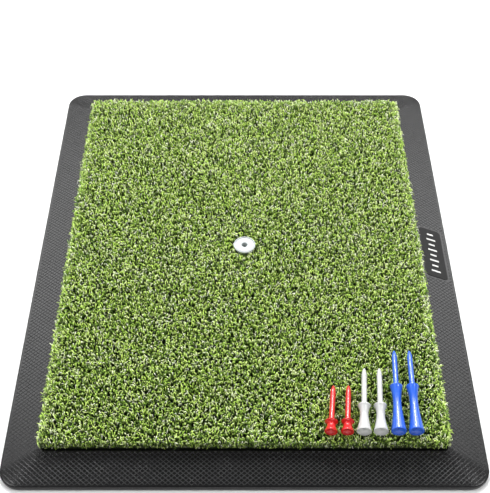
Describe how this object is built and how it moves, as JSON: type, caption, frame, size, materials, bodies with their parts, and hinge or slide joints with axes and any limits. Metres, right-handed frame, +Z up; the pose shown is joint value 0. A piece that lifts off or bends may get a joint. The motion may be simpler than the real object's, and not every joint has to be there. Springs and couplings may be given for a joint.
{
  "type": "golf hitting mat",
  "caption": "Rectangular golf practice mat: artificial turf in a bevelled non-slip base tray, with a white centre tee holder and loose castle tees lying on the turf.",
  "frame": {"origin": "centre of the mat at floor level, under the middle of the tee holder", "axes": "+Z up; +Y along the mat's length, from its front edge to its back edge; +X to the right across its width"},
  "size_m": [0.406, 0.508, 0.035],
  "materials": {
    "grip_rubber": "matt, fine ribbed",
    "tray_plastic": "matt, moulded with a fine diamond grid",
    "label_plastic": "matt, raised pale bars",
    "pad_foam": "closed-cell foam",
    "backing_cloth": "woven and latexed",
    "turf_yarn": "curled nylon yarn",
    "white_plastic": "gloss",
    "retainer_plastic": "satin",
    "red_plastic": "gloss",
    "tee_white_plastic": "gloss",
    "blue_plastic": "gloss"
  },
  "bodies": {
    "mat": {"grip_sheet": "grip_rubber", "base_tray": "tray_plastic", "label_plate": "label_plastic", "shock_pad": "pad_foam", "turf_backing": "backing_cloth", "turf_pile": "turf_yarn", "tee_holder": "white_plastic", "tee_holder_retainer": "retainer_plastic"},
    "red_tee_1": {"red_tee_1": "red_plastic"},
    "red_tee_2": {"red_tee_2": "red_plastic"},
    "white_tee_1": {"white_tee_1": "tee_white_plastic"},
    "white_tee_2": {"white_tee_2": "tee_white_plastic"},
    "blue_tee_1": {"blue_tee_1": "blue_plastic"},
    "blue_tee_2": {"blue_tee_2": "blue_plastic"}
  },
  "joints": [
    {"name": "red_tee_1_lift", "type": "slide", "parent": "mat", "child": "red_tee_1", "axis": [0, 0, 1], "range_m": [0, 0.1]},
    {"name": "red_tee_2_lift", "type": "slide", "parent": "mat", "child": "red_tee_2", "axis": [0, 0, 1], "range_m": [0, 0.1]},
    {"name": "white_tee_1_lift", "type": "slide", "parent": "mat", "child": "white_tee_1", "axis": [0, 0, 1], "range_m": [0, 0.1]},
    {"name": "white_tee_2_lift", "type": "slide", "parent": "mat", "child": "white_tee_2", "axis": [0, 0, 1], "range_m": [0, 0.1]},
    {"name": "blue_tee_1_lift", "type": "slide", "parent": "mat", "child": "blue_tee_1", "axis": [0, 0, 1], "range_m": [0, 0.1]},
    {"name": "blue_tee_2_lift", "type": "slide", "parent": "mat", "child": "blue_tee_2", "axis": [0, 0, 1], "range_m": [0, 0.1]}
  ]
}
